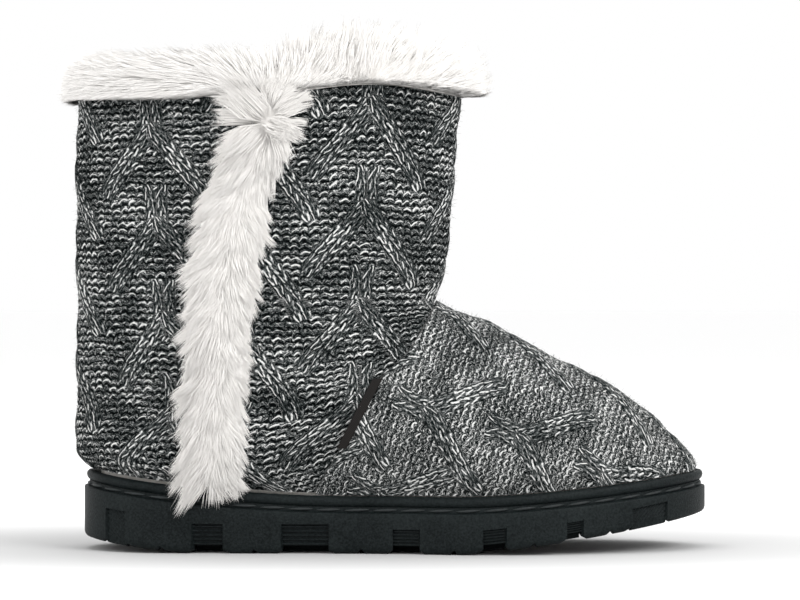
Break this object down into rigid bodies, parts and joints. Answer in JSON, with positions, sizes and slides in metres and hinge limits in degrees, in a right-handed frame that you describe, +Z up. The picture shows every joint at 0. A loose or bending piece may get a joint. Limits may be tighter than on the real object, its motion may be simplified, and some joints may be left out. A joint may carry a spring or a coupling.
{
  "type": "bootie slipper",
  "caption": "Ankle-high cable-knit bootie slipper with a faux-fur collar, a faux-fur strip down the outer side and a lugged rubber cup sole.",
  "frame": {"origin": "on the floor, under the middle of the whole slipper's box", "axes": "+X from heel to toe, +Y from the outer side with the fur strip to the inner side, +Z up from the floor"},
  "size_m": [0.2776, 0.1072, 0.2164],
  "materials": {
    "sole_rubber": "satin moulded rubber, dark grey-green",
    "fleece": "short white fleece",
    "knit": "grey marled acrylic cable knit",
    "fur": "long-pile white faux fur",
    "ribbon": "dark woven ribbon, bare"
  },
  "bodies": {
    "root": {"outsole": "sole_rubber", "insole": "fleece", "knit_upper": "knit", "fur_collar": "fur", "fur_side_strip": "fur", "seam_label": "ribbon"}
  },
  "joints": []
}
